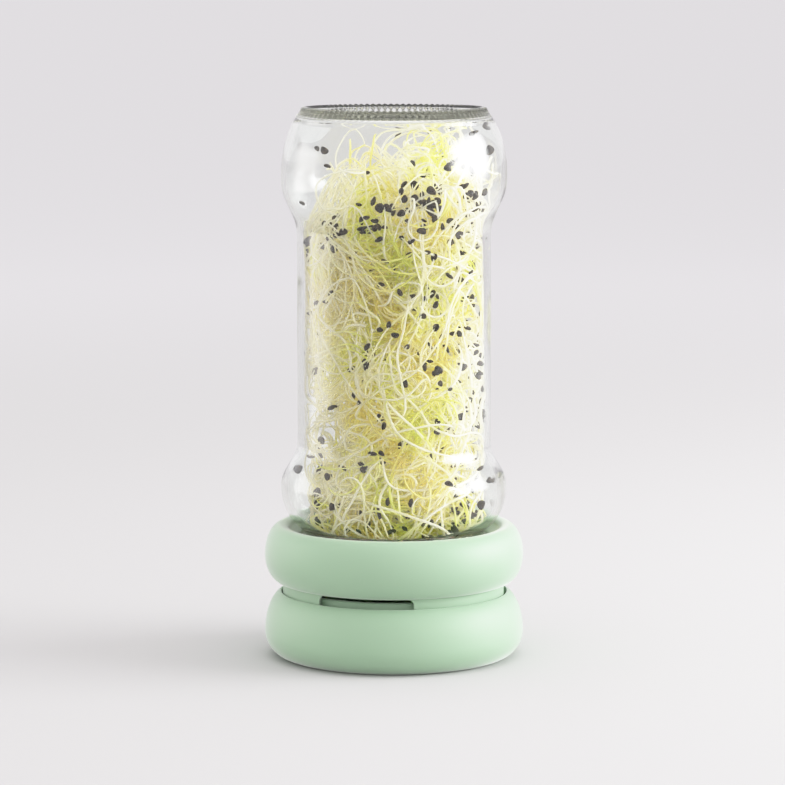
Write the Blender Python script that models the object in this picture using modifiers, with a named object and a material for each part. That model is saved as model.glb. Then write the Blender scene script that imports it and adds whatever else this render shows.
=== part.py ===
"""A sprouting jar, standing upside down in its drip tray, with a crop of allium sprouts in it.

The glass food jar stands on its mouth. Its neck screws into a thick soft collar, whose ledge
carries a punched strainer disc and a seal for the jar's lip. Under the ledge the collar ends in a
skirt with three notches for air, which stands in a groove of the drip tray.

Units are metres and +Z is up. The origin is the middle of the tray's flat underside, and every
turned piece has the Z axis as its own axis.
"""
import math
import random

import bmesh
import bpy
from mathutils import Matrix, Vector

GAP = 0.0003                    # clearance kept between pieces that touch

# Drip tray: a low round bowl with a bulged wall, and a groove for the collar's skirt.
TRAY_BULGE_RADIUS = 0.0490      # widest point, at TRAY_BULGE_Z
TRAY_BULGE_Z = 0.0095
TRAY_FOOT_RADIUS = 0.0405       # edge of the flat underside
TRAY_RIM_Z = 0.0246
TRAY_RIM_ANGLE = 72.0           # where the bulge ends at the rim, on the bulge's own ellipse
TRAY_FLOOR = 0.0035
TRAY_WELL_RADIUS = 0.0374       # the bowl that holds the drips
TRAY_WELL_FILLET = 0.0015       # rounding between the bowl's floor and its wall
TRAY_INNER_WALL_Z = 0.0263
TRAY_EDGE = 0.0006              # rounding of the inner wall's top
GROOVE_INNER_RADIUS = 0.0395
GROOVE_OUTER_RADIUS = 0.0426
GROOVE_FLOOR_Z = 0.0167

# Collar: a bulged ring, solid between its outside and the threaded socket in it.
COLLAR_BULGE_RADIUS = 0.0490
COLLAR_BULGE_Z = 0.0386
COLLAR_CREST_RADIUS = 0.0430
COLLAR_CREST_Z = 0.0500
SKIRT_RADIUS = 0.0422
SKIRT_WALL = 0.0022
SKIRT_TOP_Z = 0.0282
SKIRT_FOOT_Z = GROOVE_FLOOR_Z + GAP
SKIRT_EDGE = 0.0004
LEDGE_INNER_RADIUS = 0.0298
LEDGE_BOTTOM_Z = 0.0284
LEDGE_TOP_Z = 0.0299
SEAT_RADIUS = 0.0360            # pocket for the strainer and the seal
SOCKET_RADIUS = 0.0362
SOCKET_TOP_Z = 0.0452
COLLAR_LIP = [(0.0399, 0.0486), (0.0412, 0.0496)]   # (radius, height) where the funnel rolls over
LUG_COUNT = 4
LUG_RADIUS = 0.0013
LUG_PATH_RADIUS = 0.0355
LUG_Z = 0.0406
LUG_SWEEP = 16.0

# Notches in the skirt, open at its foot.
VENT_COUNT = 3
VENT_FIRST_ANGLE = -105.5
VENT_WIDTH = 0.0363
VENT_TOP_Z = 0.0280
VENT_CORNER = 0.0020

# Strainer and seal, stacked on the collar's ledge.
STRAINER_RADIUS = 0.0355
STRAINER_THICKNESS = 0.0006
HOLE_RINGS = 4
HOLE_PITCH = 0.0062
HOLE_RADIUS = 0.0014
SEAL_INNER_RADIUS = 0.0306
SEAL_THICKNESS = 0.0016
SEAL_EDGE = 0.0003

# Glass jar, base up. Its radii are those of the outside, and the wall lies inside them.
JAR_LIP_Z = 0.0330
JAR_TOP_Z = 0.2075
JAR_WALL = 0.0024
BORE_RADIUS = 0.0310
FINISH_RADIUS = 0.0337
RIDGE_RADIUS = 0.00115
RIDGE_LOW_Z = 0.0355
RIDGE_HIGH_Z = 0.0378
RIDGE_SWEEP = 70.0
BEAD_RADIUS = 0.0354
BEAD_Z = 0.0448
NECK_RADIUS = 0.0342
NECK_Z = 0.0472
LOW_BULGE_RADIUS = 0.0427
LOW_BULGE_Z = 0.0640
LOW_BULGE_DEPTH = 0.0156        # half-axes of the ellipse that closes the bulge towards the neck
LOW_BULGE_DROP = 0.0180
LOW_BULGE_END = 62.7
WAIST_RADIUS = 0.0365
WAIST_LOW_Z = 0.0810
WAIST_HIGH_Z = 0.1600
TOP_BULGE_RADIUS = 0.0424
TOP_BULGE_LOW_Z = 0.1800
TOP_BULGE_Z = 0.1830
TOP_BULGE_DEPTH = 0.0200
TOP_BULGE_RISE = 0.0300
TOP_BULGE_END = 54.7
BEARING_RING_RADIUS = 0.0328    # middle of the ring that the jar stands on when it is upright
BEARING_RING_WIDTH = 0.0014
PUSH_UP_RADIUS = 0.0312
PUSH_UP_Z = 0.2035
PUSH_UP_EDGE_DROP = 0.0012      # how far its edge lies below the bearing ring
INSIDE_BASE_Z = 0.1990
INSIDE_BASE_RADIUS = 0.0300
INSIDE_BASE_RISE = 0.0020

# Sprouts. The tangle is the packed bulk of the crop, and single sprouts lie round it.
TANGLE_FOOT_Z = LEDGE_TOP_Z + GAP + STRAINER_THICKNESS + GAP
TANGLE_OUTLINE = [              # (radius, height) of the bulk, from its top down
    (0.0000, 0.1870), (0.0090, 0.1862), (0.0180, 0.1825), (0.0240, 0.1750), (0.0262, 0.1640),
    (0.0266, 0.1400), (0.0266, 0.1160), (0.0266, 0.0920), (0.0270, 0.0760), (0.0266, 0.0620),
    (0.0238, 0.0500), (0.0228, 0.0400), (0.0218, 0.0330), (0.0200, TANGLE_FOOT_Z), (0.0, TANGLE_FOOT_Z)]
TANGLE_LUMP = 0.0008
INNER_LAYER = [                 # (height, radius) that the inner layer of single sprouts follows
    (0.033, 0.0260), (0.047, 0.0260), (0.064, 0.0298), (0.085, 0.0294), (0.160, 0.0294),
    (0.180, 0.0290), (0.197, 0.0240)]
OUTER_LAYER = [                 # the same for the layer next to the glass
    (0.033, 0.0291), (0.047, 0.0291), (0.064, 0.0345), (0.085, 0.0323), (0.160, 0.0323),
    (0.180, 0.0330), (0.197, 0.0275)]
TIERS = [(0.0350, 0.0900), (0.0950, 0.1420), (0.1470, 0.1930)]
SPROUTS_PER_TIER = 5
SPROUT_LEAN = 0.0100            # how far a sprout's tip lies beside its root, along the wall
SPROUT_WAVE = 0.0016
STEM_POINTS = 8
CROOK_POINTS = 4
CROOK_RADIUS = 0.0026
STEM_RADIUS = 0.00045
ROOT_RADIUS = 0.00025
HULL_RADIUS = 0.0012            # seed hull on the tip
HULL_LENGTH = 0.0030
HULL_HALF_THICKNESS = 0.0009
LOOSE_HULLS = [                 # (angle, height, turn) of the empty hulls stuck to the glass bulges
    (-146, 0.1770, 20), (-118, 0.1860, 75), (-97, 0.1850, 100), (-66, 0.1840, 40),
    (-30, 0.1760, 60), (-160, 0.0640, 30), (-20, 0.0660, 80), (-136, 0.0600, 130)]

TURNED_STEPS = 48
JAR_STEPS = 40
TANGLE_STEPS = 20


# ---- Outlines ----

def arc(centre_r, centre_z, half_r, half_z, start, end, count):
    """Points (radius, height) along an ellipse, from one angle to another in degrees."""
    angles = [math.radians(start + (end - start) * i / (count - 1)) for i in range(count)]
    return [(centre_r + half_r * math.cos(a), centre_z + half_z * math.sin(a)) for a in angles]


def ease(start, end, count):
    """Points along an S-curve between two (radius, height) points, upright at both ends."""
    points = []
    for i in range(count):
        t = i / (count - 1)
        blend = (1 - math.cos(math.pi * t)) / 2
        points.append((start[0] + (end[0] - start[0]) * blend, start[1] + (end[1] - start[1]) * t))
    return points


def read_outline(knots, height):
    """Radius at a height, eased between the (height, radius) knots."""
    if height <= knots[0][0]:
        return knots[0][1]
    for (low_z, low_r), (high_z, high_r) in zip(knots, knots[1:]):
        if height <= high_z:
            t = (height - low_z) / (high_z - low_z)
            return low_r + (high_r - low_r) * t * t * (3 - 2 * t)
    return knots[-1][1]


def tray_outline():
    bulge_depth = TRAY_BULGE_RADIUS - TRAY_FOOT_RADIUS
    bulge_height = (TRAY_RIM_Z - TRAY_BULGE_Z) / math.sin(math.radians(TRAY_RIM_ANGLE))
    fillet = TRAY_WELL_FILLET
    well = [(0, TRAY_FLOOR)]
    well += arc(TRAY_WELL_RADIUS - fillet, TRAY_FLOOR + fillet, fillet, fillet, -90, 0, 4)
    inner_wall = [
        (TRAY_WELL_RADIUS, TRAY_INNER_WALL_Z - TRAY_EDGE),
        (TRAY_WELL_RADIUS + TRAY_EDGE, TRAY_INNER_WALL_Z),
        (GROOVE_INNER_RADIUS - TRAY_EDGE, TRAY_INNER_WALL_Z),
        (GROOVE_INNER_RADIUS, TRAY_INNER_WALL_Z - TRAY_EDGE)]
    groove = [
        (GROOVE_INNER_RADIUS, GROOVE_FLOOR_Z), (GROOVE_OUTER_RADIUS, GROOVE_FLOOR_Z),
        (GROOVE_OUTER_RADIUS, TRAY_RIM_Z - TRAY_EDGE)]
    upper = arc(TRAY_FOOT_RADIUS, TRAY_BULGE_Z, bulge_depth, bulge_height, TRAY_RIM_ANGLE, 0, 6)
    lower = arc(TRAY_FOOT_RADIUS, TRAY_BULGE_Z, bulge_depth, TRAY_BULGE_Z, 0, -90, 6)
    return well + inner_wall + groove + upper + lower[1:] + [(0, 0)]


def collar_outline():
    upper = arc(COLLAR_CREST_RADIUS, COLLAR_BULGE_Z, COLLAR_BULGE_RADIUS - COLLAR_CREST_RADIUS,
                COLLAR_CREST_Z - COLLAR_BULGE_Z, 90, 0, 6)
    lower = arc(SKIRT_RADIUS, COLLAR_BULGE_Z, COLLAR_BULGE_RADIUS - SKIRT_RADIUS,
                COLLAR_BULGE_Z - SKIRT_TOP_Z, 0, -90, 6)
    skirt_inside = SKIRT_RADIUS - SKIRT_WALL
    skirt = [
        (SKIRT_RADIUS, SKIRT_FOOT_Z + SKIRT_EDGE), (SKIRT_RADIUS - SKIRT_EDGE, SKIRT_FOOT_Z),
        (skirt_inside + SKIRT_EDGE, SKIRT_FOOT_Z), (skirt_inside, SKIRT_FOOT_Z + SKIRT_EDGE),
        (skirt_inside, LEDGE_BOTTOM_Z)]
    ledge = [
        (LEDGE_INNER_RADIUS, LEDGE_BOTTOM_Z), (LEDGE_INNER_RADIUS, LEDGE_TOP_Z),
        (SEAT_RADIUS, LEDGE_TOP_Z), (SEAT_RADIUS, JAR_LIP_Z + GAP)]
    socket = [(SOCKET_RADIUS, JAR_LIP_Z + 2 * GAP), (SOCKET_RADIUS, SOCKET_TOP_Z)]
    funnel = ease((SOCKET_RADIUS, SOCKET_TOP_Z), COLLAR_LIP[0], 4)
    return upper + lower[1:] + skirt + ledge + socket + funnel[1:] + COLLAR_LIP[1:]


def jar_outside():
    push_up = [(0, PUSH_UP_Z)]
    for share in (0.45, 0.8, 1.0):
        rise = (JAR_TOP_Z - PUSH_UP_EDGE_DROP - PUSH_UP_Z) * share ** 2
        push_up.append((PUSH_UP_RADIUS * share, PUSH_UP_Z + rise))
    bearing_ring = [
        (BEARING_RING_RADIUS - BEARING_RING_WIDTH / 2, JAR_TOP_Z),
        (BEARING_RING_RADIUS + BEARING_RING_WIDTH / 2, JAR_TOP_Z)]
    top_bulge = arc(TOP_BULGE_RADIUS - TOP_BULGE_DEPTH, TOP_BULGE_Z, TOP_BULGE_DEPTH,
                    TOP_BULGE_RISE, TOP_BULGE_END, 0, 6)
    shoulder = ease((TOP_BULGE_RADIUS, TOP_BULGE_LOW_Z), (WAIST_RADIUS, WAIST_HIGH_Z), 5)
    swell = ease((WAIST_RADIUS, WAIST_LOW_Z), (LOW_BULGE_RADIUS, LOW_BULGE_Z + 0.001), 5)
    low_bulge = arc(LOW_BULGE_RADIUS - LOW_BULGE_DEPTH, LOW_BULGE_Z, LOW_BULGE_DEPTH,
                    LOW_BULGE_DROP, 0, -LOW_BULGE_END, 5)
    neck = [
        (NECK_RADIUS, NECK_Z), (BEAD_RADIUS, BEAD_Z + 0.001), (BEAD_RADIUS, BEAD_Z - 0.001),
        (FINISH_RADIUS + 0.0002, BEAD_Z - 0.0022)]
    lip = [
        (FINISH_RADIUS, JAR_LIP_Z + 0.0010), (FINISH_RADIUS - 0.0008, JAR_LIP_Z),
        (BORE_RADIUS + 0.0007, JAR_LIP_Z)]
    return push_up + bearing_ring + top_bulge + shoulder + swell + low_bulge + neck + lip


def jar_inside():
    waist = WAIST_RADIUS - JAR_WALL
    bore = [(BORE_RADIUS, JAR_LIP_Z + 0.0007), (BORE_RADIUS + 0.0002, NECK_Z)]
    low_bulge = arc(LOW_BULGE_RADIUS - LOW_BULGE_DEPTH, LOW_BULGE_Z, LOW_BULGE_DEPTH - JAR_WALL,
                    LOW_BULGE_DROP - JAR_WALL, -71, 0, 4)
    swell = ease((LOW_BULGE_RADIUS - JAR_WALL, LOW_BULGE_Z + 0.001), (waist, WAIST_LOW_Z), 5)
    shoulder = ease((waist, WAIST_HIGH_Z), (TOP_BULGE_RADIUS - JAR_WALL, TOP_BULGE_LOW_Z), 5)
    centre_r = TOP_BULGE_RADIUS - TOP_BULGE_DEPTH
    corner = INSIDE_BASE_Z + INSIDE_BASE_RISE
    corner_angle = math.acos((INSIDE_BASE_RADIUS - centre_r) / (TOP_BULGE_DEPTH - JAR_WALL))
    rise = (corner - TOP_BULGE_Z) / math.sin(corner_angle)
    top_bulge = arc(centre_r, TOP_BULGE_Z, TOP_BULGE_DEPTH - JAR_WALL, rise, 0,
                    math.degrees(corner_angle), 5)
    base = [(INSIDE_BASE_RADIUS * 0.6, INSIDE_BASE_Z + INSIDE_BASE_RISE * 0.36), (0, INSIDE_BASE_Z)]
    return bore + low_bulge + swell + shoulder + top_bulge + base


# ---- Blender helpers ----

def clear_scene():
    for thing in list(bpy.data.objects):
        bpy.data.objects.remove(thing, do_unlink=True)
    for collection in list(bpy.data.collections):
        bpy.data.collections.remove(collection)


def new_collection(name):
    collection = bpy.data.collections.new(name)
    bpy.context.scene.collection.children.link(collection)
    return collection


def linear(hex_colour):
    channels = [int(hex_colour[i:i + 2], 16) / 255 for i in (1, 3, 5)]
    return [c / 12.92 if c <= 0.04045 else ((c + 0.055) / 1.055) ** 2.4 for c in channels] + [1.0]


def new_material(name, hex_colour, roughness, metallic=0.0, transmission=0.0):
    material = bpy.data.materials.new(name)
    material.use_nodes = True
    shader = material.node_tree.nodes["Principled BSDF"]
    shader.inputs["Base Color"].default_value = linear(hex_colour)
    shader.inputs["Roughness"].default_value = roughness
    shader.inputs["Metallic"].default_value = metallic
    shader.inputs["Transmission Weight"].default_value = transmission
    return material


def add_object(name, data, collection):
    thing = bpy.data.objects.new(name, data)
    collection.objects.link(thing)
    return thing


def mark_cutter(thing):
    thing.hide_render = True
    thing.display_type = 'WIRE'


def shade(thing, material, sharp_angle=35):
    thing.data.materials.append(material)
    thing.data.shade_smooth()
    thing.data.set_sharp_from_angle(angle=math.radians(sharp_angle))


def turned(name, outline, collection, steps=TURNED_STEPS, closed=False):
    """A solid of revolution about Z. The outline runs down its outer side."""
    bm = bmesh.new()
    corners = [bm.verts.new((radius, 0, height)) for radius, height in outline]
    for start, end in zip(corners, corners[1:]):
        bm.edges.new((start, end))
    if closed:
        bm.edges.new((corners[-1], corners[0]))
    mesh = bpy.data.meshes.new(name)
    bm.to_mesh(mesh)
    bm.free()
    thing = add_object(name, mesh, collection)
    screw = thing.modifiers.new("turn", 'SCREW')
    screw.axis = 'Z'
    screw.steps = steps
    screw.render_steps = steps
    screw.use_merge_vertices = True
    screw.merge_threshold = 0.00001
    return thing


def combine(thing, operation, tool):
    boolean = thing.modifiers.new(tool.name, 'BOOLEAN')
    boolean.operation = operation
    boolean.solver = 'EXACT'
    boolean.object = tool


def tube(name, points, radii, depth, collection, sides=6):
    """A round tube along the points. Its radius at each point is given as a share of depth."""
    curve = bpy.data.curves.new(name, 'CURVE')
    curve.dimensions = '3D'
    curve.bevel_depth = depth
    curve.bevel_resolution = sides // 2 - 2
    curve.use_fill_caps = True
    spline = curve.splines.new('POLY')
    spline.points.add(len(points) - 1)
    for spline_point, place, radius in zip(spline.points, points, radii):
        spline_point.co = (*place, 1)
        spline_point.radius = radius
    return add_object(name, curve, collection)


def curve_to_mesh(thing, collection):
    """Replace a curve object by a mesh object with welded caps, fit for a Boolean."""
    evaluated = thing.evaluated_get(bpy.context.evaluated_depsgraph_get())
    mesh = bpy.data.meshes.new_from_object(evaluated)
    bm = bmesh.new()
    bm.from_mesh(mesh)
    bmesh.ops.remove_doubles(bm, verts=bm.verts, dist=0.00001)
    bm.to_mesh(mesh)
    bm.free()
    name = thing.name
    matrix = thing.matrix_world.copy()
    bpy.data.objects.remove(thing, do_unlink=True)
    solid = add_object(name, mesh, collection)
    solid.matrix_world = matrix
    return solid


def polar(radius, angle, height):
    return Vector((radius * math.cos(angle), radius * math.sin(angle), height))


# ---- Drip tray and collar ----

def make_tray(parts):
    tray = turned("drip_tray", tray_outline(), parts)
    shade(tray, new_material("mint moulded silicone, tray", "#A9D3B9", 0.55))


def make_vent_cutter(index, cutters):
    """A block across the skirt, with the two upper edges that show rounded over."""
    bm = bmesh.new()
    bmesh.ops.create_cube(bm, size=1)
    depth = 0.012
    height = VENT_TOP_Z - SKIRT_FOOT_Z + 0.002
    bmesh.ops.scale(bm, vec=(depth, VENT_WIDTH, height), verts=bm.verts)
    upper_sides = [e for e in bm.edges
                   if abs(e.verts[0].co.x - e.verts[1].co.x) > depth / 2 and e.verts[0].co.z > 0]
    bmesh.ops.bevel(bm, geom=upper_sides, offset=VENT_CORNER, segments=4, profile=0.5,
                    affect='EDGES')
    mesh = bpy.data.meshes.new(f"vent_cutter_{index}")
    bm.to_mesh(mesh)
    bm.free()
    cutter = add_object(mesh.name, mesh, cutters)
    angle = math.radians(VENT_FIRST_ANGLE + 360 / VENT_COUNT * index)
    cutter.location = polar(SKIRT_RADIUS - depth / 4, angle, VENT_TOP_Z - height / 2)
    cutter.rotation_euler.z = angle
    mark_cutter(cutter)
    return cutter


def make_thread_bead(name, radius, low_z, high_z, start, sweep, depth, cutters):
    """A rounded rib along a short helix, to be united with the wall that it sits on."""
    count = 8
    points = []
    for i in range(count):
        t = i / (count - 1)
        points.append(polar(radius, math.radians(start + sweep * t), low_z + (high_z - low_z) * t))
    ends = [0.6] + [1.0] * (count - 2) + [0.6]
    bead = curve_to_mesh(tube(name, points, ends, depth, cutters), cutters)
    mark_cutter(bead)
    return bead


def make_collar(parts, cutters):
    collar = turned("collar_lid", collar_outline(), parts, closed=True)
    for index in range(VENT_COUNT):
        combine(collar, 'DIFFERENCE', make_vent_cutter(index, cutters))
    for index in range(LUG_COUNT):
        start = 360 / LUG_COUNT * index + (RIDGE_SWEEP - LUG_SWEEP) / 2
        lug = make_thread_bead(f"lug_{index}", LUG_PATH_RADIUS, LUG_Z, LUG_Z, start, LUG_SWEEP,
                               LUG_RADIUS, cutters)
        combine(collar, 'UNION', lug)
    shade(collar, new_material("mint moulded silicone, collar", "#A9D3B9", 0.55))


# ---- Strainer and seal ----

def hole_centres():
    """A hexagonal pattern: one hole in the middle, and rings of 6, 12, 18 and more round it."""
    centres = [(0.0, 0.0)]
    for ring in range(1, HOLE_RINGS + 1):
        for side in range(6):
            corner = math.radians(60 * side)
            along = math.radians(60 * side + 120)
            for step in range(ring):
                centres.append((HOLE_PITCH * (ring * math.cos(corner) + step * math.cos(along)),
                                HOLE_PITCH * (ring * math.sin(corner) + step * math.sin(along))))
    return centres


def make_strainer(parts, cutters):
    middle_z = LEDGE_TOP_Z + GAP + STRAINER_THICKNESS / 2
    bm = bmesh.new()
    bmesh.ops.create_cone(bm, cap_ends=True, segments=TURNED_STEPS, radius1=STRAINER_RADIUS,
                          radius2=STRAINER_RADIUS, depth=STRAINER_THICKNESS,
                          matrix=Matrix.Translation((0, 0, middle_z)))
    mesh = bpy.data.meshes.new("strainer_disc")
    bm.to_mesh(mesh)
    bm.free()
    strainer = add_object(mesh.name, mesh, parts)
    punches = bmesh.new()
    for x, y in hole_centres():
        bmesh.ops.create_cone(punches, cap_ends=True, segments=6, radius1=HOLE_RADIUS,
                              radius2=HOLE_RADIUS, depth=3 * STRAINER_THICKNESS,
                              matrix=Matrix.Translation((x, y, middle_z)))
    punch_mesh = bpy.data.meshes.new("strainer_punches")
    punches.to_mesh(punch_mesh)
    punches.free()
    punch = add_object(punch_mesh.name, punch_mesh, cutters)
    mark_cutter(punch)
    combine(strainer, 'DIFFERENCE', punch)
    shade(strainer, new_material("stainless strainer sheet", "#C9CBCC", 0.3, metallic=1.0))


def make_seal(parts):
    low = LEDGE_TOP_Z + GAP + STRAINER_THICKNESS + GAP
    high = low + SEAL_THICKNESS
    inner = SEAL_INNER_RADIUS
    outer = STRAINER_RADIUS
    section = [
        (inner + SEAL_EDGE, high), (outer - SEAL_EDGE, high), (outer, high - SEAL_EDGE),
        (outer, low + SEAL_EDGE), (outer - SEAL_EDGE, low), (inner + SEAL_EDGE, low),
        (inner, low + SEAL_EDGE), (inner, high - SEAL_EDGE)]
    seal = turned("seal_ring", section, parts, closed=True)
    shade(seal, new_material("translucent silicone seal", "#E4E6E2", 0.5))


# ---- Glass jar ----

def make_jar(parts, cutters):
    jar = turned("glass_jar", jar_outside() + jar_inside(), parts, steps=JAR_STEPS)
    for index in range(LUG_COUNT):
        ridge = make_thread_bead(f"thread_ridge_{index}", FINISH_RADIUS, RIDGE_LOW_Z, RIDGE_HIGH_Z,
                                 360 / LUG_COUNT * index, RIDGE_SWEEP, RIDGE_RADIUS, cutters)
        combine(jar, 'UNION', ridge)
    shade(jar, new_material("clear soda-lime glass", "#F4F7F5", 0.02, transmission=1.0))


# ---- Sprouts ----

def make_tangle(parts):
    """The packed bulk of the crop: a turned column whose wall is pushed in and out in lumps."""
    column = turned("sprout_tangle", TANGLE_OUTLINE, parts, steps=TANGLE_STEPS)
    evaluated = column.evaluated_get(bpy.context.evaluated_depsgraph_get())
    mesh = bpy.data.meshes.new_from_object(evaluated)
    column.modifiers.clear()
    column.data = mesh
    top = TANGLE_OUTLINE[0][1]
    for vertex in mesh.vertices:
        radius = math.hypot(vertex.co.x, vertex.co.y)
        if radius < 0.001 or vertex.co.z < TANGLE_FOOT_Z + 0.001:
            continue
        angle = math.atan2(vertex.co.y, vertex.co.x)
        climb = 9 * math.pi * vertex.co.z / top
        push = TANGLE_LUMP * (0.6 * math.sin(3 * angle + climb) + 0.4 * math.sin(5 * angle - 2 * climb))
        vertex.co.x *= 1 + push / radius
        vertex.co.y *= 1 + push / radius
    shade(column, new_material("packed pale green sprouts", "#D9DC93", 0.6), sharp_angle=180)


def sprout_route(foot_z, tip_z, lean, phase):
    """The sprout laid out flat, as (distance round the jar, height), from root tip to seed hull.

    It climbs in a slow wave, bends over in a crook, and ends in a hull that points down again.
    """
    route = []
    crook_z = tip_z - CROOK_RADIUS
    for i in range(STEM_POINTS):
        t = i / (STEM_POINTS - 1)
        fade = math.sin(math.pi * min(1.0, 1.1 * t))
        route.append((lean * t + SPROUT_WAVE * fade * math.sin(4.5 * t + phase),
                      foot_z + (crook_z - foot_z) * t))
    side = math.copysign(1, lean)
    last_x, last_z = route[-1]
    for i in range(1, CROOK_POINTS + 1):
        turn = math.radians(165) * i / CROOK_POINTS
        route.append((last_x + side * CROOK_RADIUS * (1 - math.cos(turn)),
                      last_z + CROOK_RADIUS * math.sin(turn)))
    hull_x, hull_z = route[-1]
    for share in (0.25, 0.6, 1.0):
        route.append((hull_x, hull_z - HULL_LENGTH * share))
    return route


def make_sprout(number, angle, layer, foot_z, tip_z, lean, phase, material, parts):
    nominal = layer[3][1]
    points = [polar(read_outline(layer, height), angle + distance / nominal, height)
              for distance, height in sprout_route(foot_z, tip_z, lean, phase)]
    root = ROOT_RADIUS / STEM_RADIUS
    hull = HULL_RADIUS / STEM_RADIUS
    radii = [root, 0.5 + root / 2] + [1.0] * (STEM_POINTS + CROOK_POINTS - 2)
    radii += [hull, 0.9 * hull, 0.35 * hull]
    sprout = tube(f"sprout_{number:02d}", points, radii, STEM_RADIUS, parts)
    sprout.data.materials.append(material)


def make_sprouts(parts):
    """Two layers of single sprouts round the tangle, in tiers. The layers lean opposite ways."""
    rng = random.Random(7)
    number = 0
    for layer, lean_side in ((INNER_LAYER, 1), (OUTER_LAYER, -1)):
        for tier, (foot_z, tip_z) in enumerate(TIERS):
            for place in range(SPROUTS_PER_TIER):
                number += 1
                angle = math.radians(360 * (place + 0.37 * tier) / SPROUTS_PER_TIER - 100)
                lean = lean_side * SPROUT_LEAN * rng.uniform(0.6, 1.3)
                material = new_material(f"young sprout {number:02d}", "#E6E7A8", 0.45)
                make_sprout(number, angle + math.radians(rng.uniform(-8, 8)), layer,
                            foot_z + rng.uniform(0, 0.006), tip_z - rng.uniform(0, 0.008), lean,
                            rng.uniform(0, 2 * math.pi), material, parts)


def inner_wall_radius(height):
    """Radius of the jar's inner wall at a height in either bulge."""
    inside = sorted((z, r) for r, z in jar_inside() if z > NECK_Z)
    for (low_z, low_r), (high_z, high_r) in zip(inside, inside[1:]):
        if low_z <= height <= high_z:
            return low_r + (high_r - low_r) * (height - low_z) / (high_z - low_z)
    return inside[-1][1]


def make_loose_hulls(parts):
    """Empty seed hulls, flat and angular, that cling to the wet glass."""
    for number, (angle, height, turn) in enumerate(LOOSE_HULLS, start=1):
        bm = bmesh.new()
        bmesh.ops.create_icosphere(bm, subdivisions=2, radius=1)
        for vertex in bm.verts:
            vertex.co.z += 0.35 * vertex.co.x ** 2
        bmesh.ops.scale(bm, vec=(HULL_LENGTH / 2, HULL_RADIUS, HULL_HALF_THICKNESS), verts=bm.verts)
        mesh = bpy.data.meshes.new(f"seed_hull_{number:02d}")
        bm.to_mesh(mesh)
        bm.free()
        hull = add_object(mesh.name, mesh, parts)
        radians = math.radians(angle)
        radius = inner_wall_radius(height) - 2 * HULL_HALF_THICKNESS
        facing_out = Matrix.Rotation(radians, 4, 'Z') @ Matrix.Rotation(math.radians(-90), 4, 'Y')
        hull.matrix_world = (Matrix.Translation(polar(radius, radians, height)) @ facing_out
                             @ Matrix.Rotation(math.radians(turn), 4, 'Z'))
        shade(hull, new_material(f"black seed hull {number:02d}", "#1E1B1A", 0.5), sharp_angle=180)


def main():
    clear_scene()
    parts = new_collection("jar_of_sprouts")
    cutters = new_collection("cutters")
    make_tray(parts)
    make_collar(parts, cutters)
    make_strainer(parts, cutters)
    make_seal(parts)
    make_jar(parts, cutters)
    make_tangle(parts)
    make_sprouts(parts)
    make_loose_hulls(parts)


main()
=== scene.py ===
import math

import bpy
import numpy as np
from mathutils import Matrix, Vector


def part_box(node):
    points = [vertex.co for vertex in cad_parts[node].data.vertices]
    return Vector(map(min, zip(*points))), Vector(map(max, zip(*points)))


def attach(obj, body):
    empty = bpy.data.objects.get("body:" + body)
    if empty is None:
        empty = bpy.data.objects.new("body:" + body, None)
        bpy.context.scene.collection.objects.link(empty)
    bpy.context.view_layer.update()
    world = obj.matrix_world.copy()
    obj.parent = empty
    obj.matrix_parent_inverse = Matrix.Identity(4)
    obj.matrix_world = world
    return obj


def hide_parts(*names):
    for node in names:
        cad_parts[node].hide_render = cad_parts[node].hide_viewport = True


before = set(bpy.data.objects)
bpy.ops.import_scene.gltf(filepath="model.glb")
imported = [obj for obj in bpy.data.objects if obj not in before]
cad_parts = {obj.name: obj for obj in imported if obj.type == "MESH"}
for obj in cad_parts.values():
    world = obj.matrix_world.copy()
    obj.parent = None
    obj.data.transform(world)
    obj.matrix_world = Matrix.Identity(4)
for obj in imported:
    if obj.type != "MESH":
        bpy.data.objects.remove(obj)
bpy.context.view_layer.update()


# ---- Camera ----
# It stands in front of the jar and a little above it, and looks slightly down through a long lens.
CAMERA_TARGET = Vector((-0.00057, 0.0, 0.0999))
CAMERA_DISTANCE = 1.3097
CAMERA_PITCH = math.radians(6.965)
CAMERA_LENS = 159.1             # mm, on a sensor 36 mm wide

towards_camera = Vector((0, -math.cos(CAMERA_PITCH), math.sin(CAMERA_PITCH)))
bpy.ops.object.select_all(action='DESELECT')
bpy.ops.object.camera_add(location=CAMERA_TARGET + CAMERA_DISTANCE * towards_camera,
                          rotation=(math.pi / 2 - CAMERA_PITCH, 0, 0))
camera = bpy.context.object
camera.data.lens = CAMERA_LENS
bpy.context.scene.camera = camera


# ---- Studio ----
# A wide pale floor under a faintly lavender sky, brighter in front. A soft window light stands on the right
# and a weak, low one on the left, and a dim one hangs overhead. The floor is darker near the jar, where they
# reach it, so it looks even.
SKY_DIM = "#D9D7DA"             # behind the jar
SKY_BRIGHT = "#EEEBEC"          # in front of it
SKY_BRIGHT_WAY = (0.25, -0.90, 0.36)
SKY_STRENGTH = 1.42
FLOOR_RADIUS = 60.0
FLOOR_SIDES = 128
FLOOR_NEAR = "#C6C5C5"
FLOOR_FAR = "#D9D8DA"
FLOOR_NEAR_REACH = 0.50         # where the floor starts to grow paler,
FLOOR_FAR_REACH = 1.70          # and where it is palest
WINDOW = {"place": (1.04, -0.06, 0.39), "size": (1.20, 0.62), "radiance": 13.5, "colour": "#FDFDFF"}
FILL = {"place": (-0.64, 0.10, 0.15), "size": (0.66, 0.60), "radiance": 1.9, "colour": "#FFFAF4"}
CEILING = {"place": (0.0, 0.0, 1.40), "size": (1.40, 1.40), "radiance": 1.3, "colour": "#FFFFFF"}
LAMP_TARGET = Vector((0, 0, 0.10))
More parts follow.
